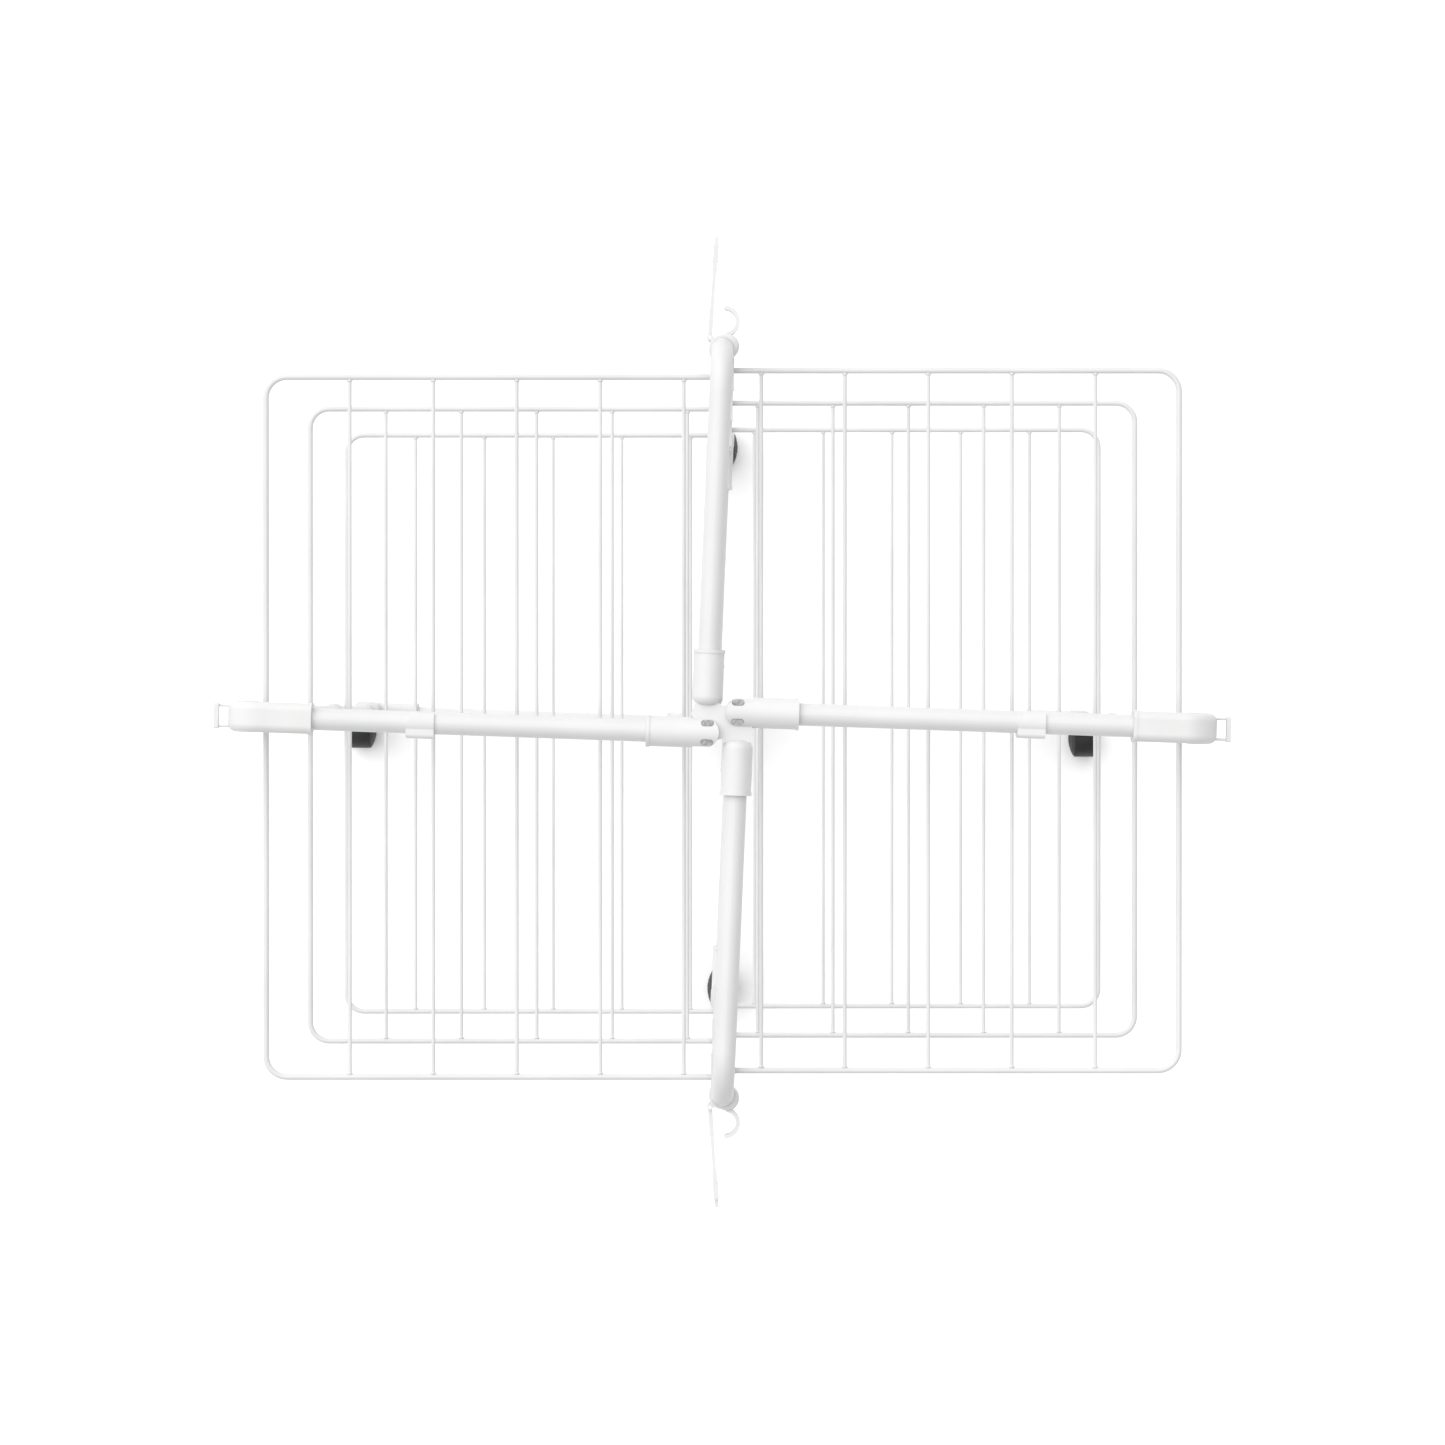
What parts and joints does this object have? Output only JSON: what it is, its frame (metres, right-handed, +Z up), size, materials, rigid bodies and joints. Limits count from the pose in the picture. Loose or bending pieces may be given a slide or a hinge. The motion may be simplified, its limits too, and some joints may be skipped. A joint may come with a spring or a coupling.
{
  "type": "folding tower drying rack on casters",
  "caption": "Free-standing folding clothes airer: hinged tube frames on a pinwheel hub, wire shelves that fold flat, hanger arms, hooks and twin-wheel casters.",
  "frame": {"origin": "on the floor under the axis of the hub, at the centre of the footprint", "axes": "+Z up, +X to the right along the folding frames, +Y to the back along the fixed frame"},
  "size_m": [1.017, 0.9646, 1.4497],
  "materials": {
    "white_tube": "smooth white powder coat, satin",
    "white_wire": "white powder coat on steel wire, satin",
    "white_plastic": "moulded white plastic, fine satin",
    "black_plastic": "moulded black plastic",
    "black_tread": "black caster wheel, dull",
    "black_steel": "blackened screws in dark cups",
    "steel": "zinc-plated steel"
  },
  "bodies": {
    "centre_frame": {"bottom_tube_back": "white_tube", "bottom_tube_front": "white_tube", "caster_housing_back": "black_plastic", "caster_housing_front": "black_plastic", "collar_back": "white_plastic", "collar_front": "white_plastic", "elbow_back_bottom": "white_plastic", "elbow_front_bottom": "white_plastic", "frame_tube_back": "white_tube", "frame_tube_front": "white_tube", "hanger_pin_back": "steel", "hanger_pin_front": "steel", "hub_bottom": "white_plastic", "hub_pins_bottom": "steel", "hub_pins_top": "steel", "hub_top": "white_plastic", "shelf_brackets_back": "white_plastic", "shelf_brackets_front": "white_plastic", "sleeve_back_bottom": "white_plastic", "sleeve_back_top": "white_plastic", "sleeve_front_bottom": "white_plastic", "sleeve_front_top": "white_plastic"},
    "left_frame": {"bottom_tube_left": "white_tube", "elbow_left_bottom": "white_plastic", "elbow_left_top": "white_plastic", "fold_clip_left": "white_plastic", "hanger_eye_left": "white_plastic", "post_left": "white_tube", "screws_left": "black_steel", "shelf_clips_left": "white_plastic", "sleeve_left_bottom": "white_plastic", "sleeve_left_top": "white_plastic", "top_tube_left": "white_tube"},
    "right_frame": {"bottom_tube_right": "white_tube", "elbow_right_bottom": "white_plastic", "elbow_right_top": "white_plastic", "fold_clip_right": "white_plastic", "hanger_eye_right": "white_plastic", "post_right": "white_tube", "screws_right": "black_steel", "shelf_clips_right": "white_plastic", "sleeve_right_bottom": "white_plastic", "sleeve_right_top": "white_plastic", "top_tube_right": "white_tube"},
    "shelf_left_top": {"shelf_left_top": "white_wire"},
    "shelf_left_middle": {"shelf_left_middle": "white_wire"},
    "shelf_left_bottom": {"shelf_left_bottom": "white_wire"},
    "shelf_right_top": {"shelf_right_top": "white_wire"},
    "shelf_right_middle": {"shelf_right_middle": "white_wire"},
    "shelf_right_bottom": {"shelf_right_bottom": "white_wire"},
    "hanger_back": {"hanger_arm_back": "white_plastic"},
    "wheels_back": {"wheels_back": "black_tread"},
    "hanger_front": {"hanger_arm_front": "white_plastic"},
    "wheels_front": {"wheels_front": "black_tread"},
    "caster_left": {"caster_housing_left": "black_plastic"},
    "wheels_left": {"wheels_left": "black_tread"},
    "caster_right": {"caster_housing_right": "black_plastic"},
    "wheels_right": {"wheels_right": "black_tread"}
  },
  "joints": [
    {"name": "left_fold", "type": "hinge", "parent": "centre_frame", "child": "left_frame", "pos_m": [-0.018, -0.01, 0.75], "axis": [0, 0, 1], "range_deg": [0, 90]},
    {"name": "right_fold", "type": "hinge", "parent": "centre_frame", "child": "right_frame", "pos_m": [0.018, 0.01, 0.75], "axis": [0, 0, 1], "range_deg": [0, 90]},
    {"name": "left_top_shelf_fold", "type": "hinge", "parent": "centre_frame", "child": "shelf_left_top", "pos_m": [-0.007, 0, 1.36], "axis": [0, -1, 0], "range_deg": [0, 88]},
    {"name": "left_middle_shelf_fold", "type": "hinge", "parent": "centre_frame", "child": "shelf_left_middle", "pos_m": [-0.007, 0, 0.952], "axis": [0, -1, 0], "range_deg": [0, 88]},
    {"name": "left_bottom_shelf_fold", "type": "hinge", "parent": "centre_frame", "child": "shelf_left_bottom", "pos_m": [-0.007, 0, 0.544], "axis": [0, -1, 0], "range_deg": [0, 88]},
    {"name": "right_top_shelf_fold", "type": "hinge", "parent": "centre_frame", "child": "shelf_right_top", "pos_m": [0.007, 0, 1.36], "axis": [0, 1, 0], "range_deg": [0, 88]},
    {"name": "right_middle_shelf_fold", "type": "hinge", "parent": "centre_frame", "child": "shelf_right_middle", "pos_m": [0.007, 0, 0.952], "axis": [0, 1, 0], "range_deg": [0, 88]},
    {"name": "right_bottom_shelf_fold", "type": "hinge", "parent": "centre_frame", "child": "shelf_right_bottom", "pos_m": [0.007, 0, 0.544], "axis": [0, 1, 0], "range_deg": [0, 88]},
    {"name": "back_hanger_swing", "type": "hinge", "parent": "centre_frame", "child": "hanger_back", "pos_m": [-0.0125, 0.3821, 1.3825], "axis": [0, 0, 1], "range_deg": [0, 155]},
    {"name": "front_hanger_swing", "type": "hinge", "parent": "centre_frame", "child": "hanger_front", "pos_m": [-0.0125, -0.3821, 1.3825], "axis": [0, 0, -1], "range_deg": [0, 155]},
    {"name": "back_wheels_spin", "type": "hinge", "parent": "centre_frame", "child": "wheels_back", "pos_m": [0, 0.3655, 0.024], "axis": [1, 0, 0], "continuous": true},
    {"name": "front_wheels_spin", "type": "hinge", "parent": "centre_frame", "child": "wheels_front", "pos_m": [0, -0.3655, 0.024], "axis": [1, 0, 0], "continuous": true},
    {"name": "left_caster_swivel", "type": "hinge", "parent": "left_frame", "child": "caster_left", "pos_m": [-0.488, 0.006, 0.06], "axis": [0, 0, 1], "continuous": true},
    {"name": "left_wheels_spin", "type": "hinge", "parent": "caster_left", "child": "wheels_left", "pos_m": [-0.488, -0.015, 0.024], "axis": [1, 0, 0], "continuous": true},
    {"name": "right_caster_swivel", "type": "hinge", "parent": "right_frame", "child": "caster_right", "pos_m": [0.488, -0.006, 0.06], "axis": [0, 0, 1], "continuous": true},
    {"name": "right_wheels_spin", "type": "hinge", "parent": "caster_right", "child": "wheels_right", "pos_m": [0.488, -0.027, 0.024], "axis": [1, 0, 0], "continuous": true}
  ],
  "couplings": [
    {"joint": "left_top_shelf_fold", "follows": "left_fold", "ratio": 0.9777},
    {"joint": "left_middle_shelf_fold", "follows": "left_fold", "ratio": 0.9777},
    {"joint": "left_bottom_shelf_fold", "follows": "left_fold", "ratio": 0.9777},
    {"joint": "right_top_shelf_fold", "follows": "right_fold", "ratio": 0.9777},
    {"joint": "right_middle_shelf_fold", "follows": "right_fold", "ratio": 0.9777},
    {"joint": "right_bottom_shelf_fold", "follows": "right_fold", "ratio": 0.9777}
  ]
}
